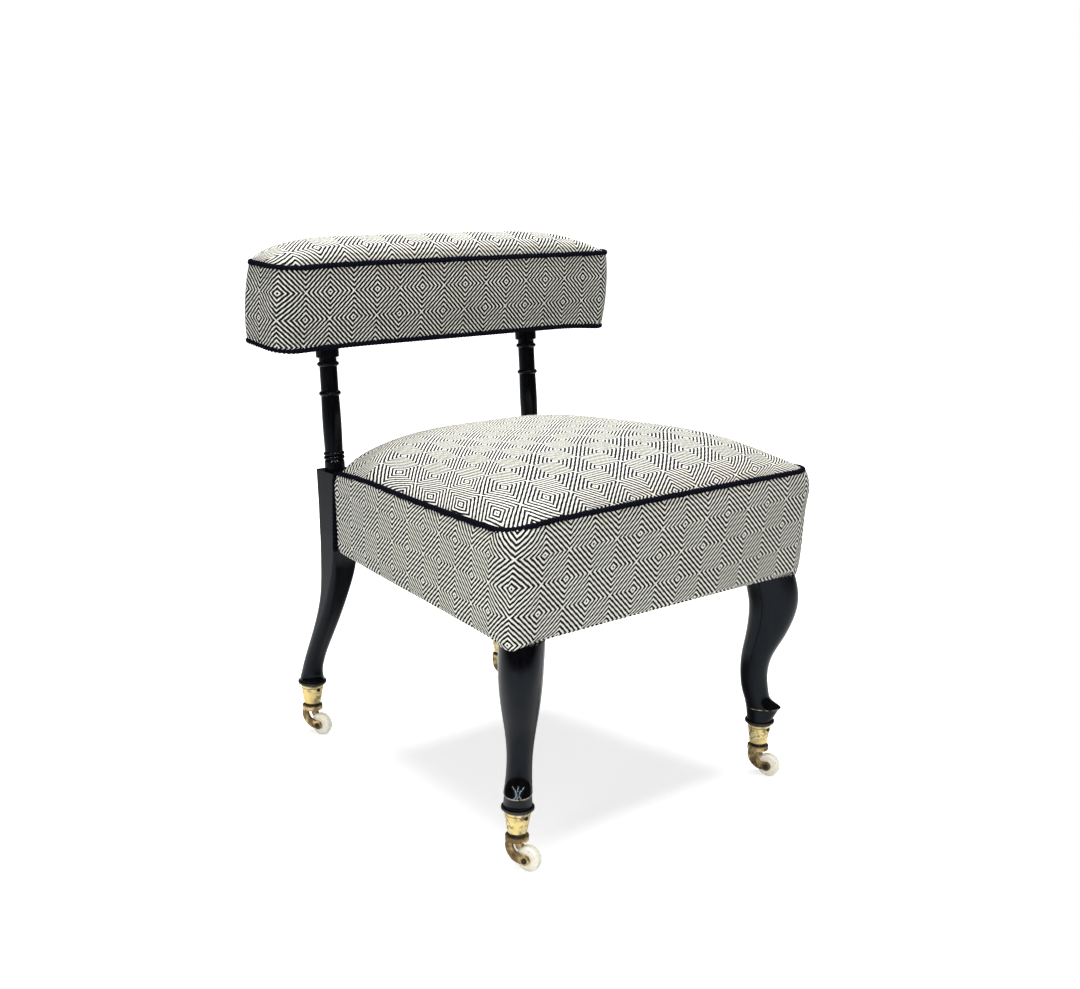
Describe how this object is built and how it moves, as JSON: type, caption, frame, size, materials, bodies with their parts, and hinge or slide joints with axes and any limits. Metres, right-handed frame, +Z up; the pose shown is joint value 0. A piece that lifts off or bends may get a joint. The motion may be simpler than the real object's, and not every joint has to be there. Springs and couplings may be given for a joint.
{
  "type": "slipper chair",
  "caption": "Low armless slipper chair with a sprung upholstered seat, a padded back rail on turned posts, curved ebonised legs and swivel castors.",
  "frame": {"origin": "on the floor under the middle of the chair's box", "axes": "+Z up, front of the chair towards -Y, the sitter's view from the front has +X on the right"},
  "size_m": [0.536, 0.5048, 0.6488],
  "materials": {
    "ebonised_wood": "ebonised black, satin",
    "beech": "bare timber",
    "brass": "aged, with a black rim",
    "dark_brass": "tarnished",
    "dark_steel": "blackened",
    "screw_steel": "plain",
    "ceramic": "glazed ivory white",
    "woven_cloth": "woven concentric diamonds, cream and black",
    "black_piping": "black cord",
    "webbing": "woven jute",
    "spring_steel": "copper-washed wire",
    "hessian": "coarse weave",
    "stuffing": "curled hair",
    "dust_cloth": "thin black cotton"
  },
  "bodies": {
    "chair": {"front_left_leg": "ebonised_wood", "front_right_leg": "ebonised_wood", "rear_left_leg": "ebonised_wood", "rear_right_leg": "ebonised_wood", "left_seat_rail": "beech", "right_seat_rail": "beech", "front_seat_rail": "beech", "rear_seat_rail": "beech", "front_left_corner_block": "beech", "front_right_corner_block": "beech", "rear_left_corner_block": "beech", "rear_right_corner_block": "beech", "back_bottom_board": "beech", "back_top_board": "beech", "back_end_blocks": "beech", "front_left_castor_cup": "brass", "front_right_castor_cup": "brass", "rear_left_castor_cup": "brass", "rear_right_castor_cup": "brass", "front_left_castor_pintle": "dark_steel", "front_left_castor_screw": "dark_steel", "front_right_castor_pintle": "dark_steel", "front_right_castor_screw": "dark_steel", "rear_left_castor_pintle": "dark_steel", "rear_left_castor_screw": "dark_steel", "rear_right_castor_pintle": "dark_steel", "rear_right_castor_screw": "dark_steel", "corner_block_screws": "screw_steel", "back_post_screws": "screw_steel", "seat_top_cover": "woven_cloth", "seat_border_cover": "woven_cloth", "seat_rear_border_cover": "woven_cloth", "back_band_cover": "woven_cloth", "back_top_panel": "woven_cloth", "back_bottom_panel": "woven_cloth", "seat_piping": "black_piping", "seat_rear_piping": "black_piping", "left_edge_piping": "black_piping", "right_edge_piping": "black_piping", "back_top_piping": "black_piping", "back_bottom_piping": "black_piping", "seat_webbing_lengthwise": "webbing", "seat_webbing_crosswise": "webbing", "seat_springs": "spring_steel", "spring_hessian": "hessian", "seat_stuffing": "stuffing", "back_stuffing": "stuffing", "seat_dust_cover": "dust_cloth"},
    "front_left_horn": {"front_left_castor_horn": "dark_brass", "front_left_castor_axle": "dark_steel"},
    "front_left_wheel": {"front_left_castor_wheel": "ceramic"},
    "front_right_horn": {"front_right_castor_horn": "dark_brass", "front_right_castor_axle": "dark_steel"},
    "front_right_wheel": {"front_right_castor_wheel": "ceramic"},
    "rear_left_horn": {"rear_left_castor_horn": "dark_brass", "rear_left_castor_axle": "dark_steel"},
    "rear_left_wheel": {"rear_left_castor_wheel": "ceramic"},
    "rear_right_horn": {"rear_right_castor_horn": "dark_brass", "rear_right_castor_axle": "dark_steel"},
    "rear_right_wheel": {"rear_right_castor_wheel": "ceramic"}
  },
  "joints": [
    {"name": "front_left_swivel", "type": "hinge", "parent": "chair", "child": "front_left_horn", "pos_m": [-0.2, -0.22, 0], "axis": [0, 0, 1], "continuous": true},
    {"name": "front_left_wheel_spin", "type": "hinge", "parent": "front_left_horn", "child": "front_left_wheel", "pos_m": [-0.19559, -0.23538, 0.01425], "axis": [0.9613, 0.2756, 0], "continuous": true},
    {"name": "front_right_swivel", "type": "hinge", "parent": "chair", "child": "front_right_horn", "pos_m": [0.2, -0.22, 0], "axis": [0, 0, 1], "continuous": true},
    {"name": "front_right_wheel_spin", "type": "hinge", "parent": "front_right_horn", "child": "front_right_wheel", "pos_m": [0.20441, -0.23538, 0.01425], "axis": [0.9613, 0.2756, 0], "continuous": true},
    {"name": "rear_left_swivel", "type": "hinge", "parent": "chair", "child": "rear_left_horn", "pos_m": [-0.163, 0.234, 0], "axis": [0, 0, 1], "continuous": true},
    {"name": "rear_left_wheel_spin", "type": "hinge", "parent": "rear_left_horn", "child": "rear_left_wheel", "pos_m": [-0.15859, 0.21862, 0.01425], "axis": [0.9613, 0.2756, 0], "continuous": true},
    {"name": "rear_right_swivel", "type": "hinge", "parent": "chair", "child": "rear_right_horn", "pos_m": [0.163, 0.234, 0], "axis": [0, 0, 1], "continuous": true},
    {"name": "rear_right_wheel_spin", "type": "hinge", "parent": "rear_right_horn", "child": "rear_right_wheel", "pos_m": [0.16741, 0.21862, 0.01425], "axis": [0.9613, 0.2756, 0], "continuous": true}
  ]
}
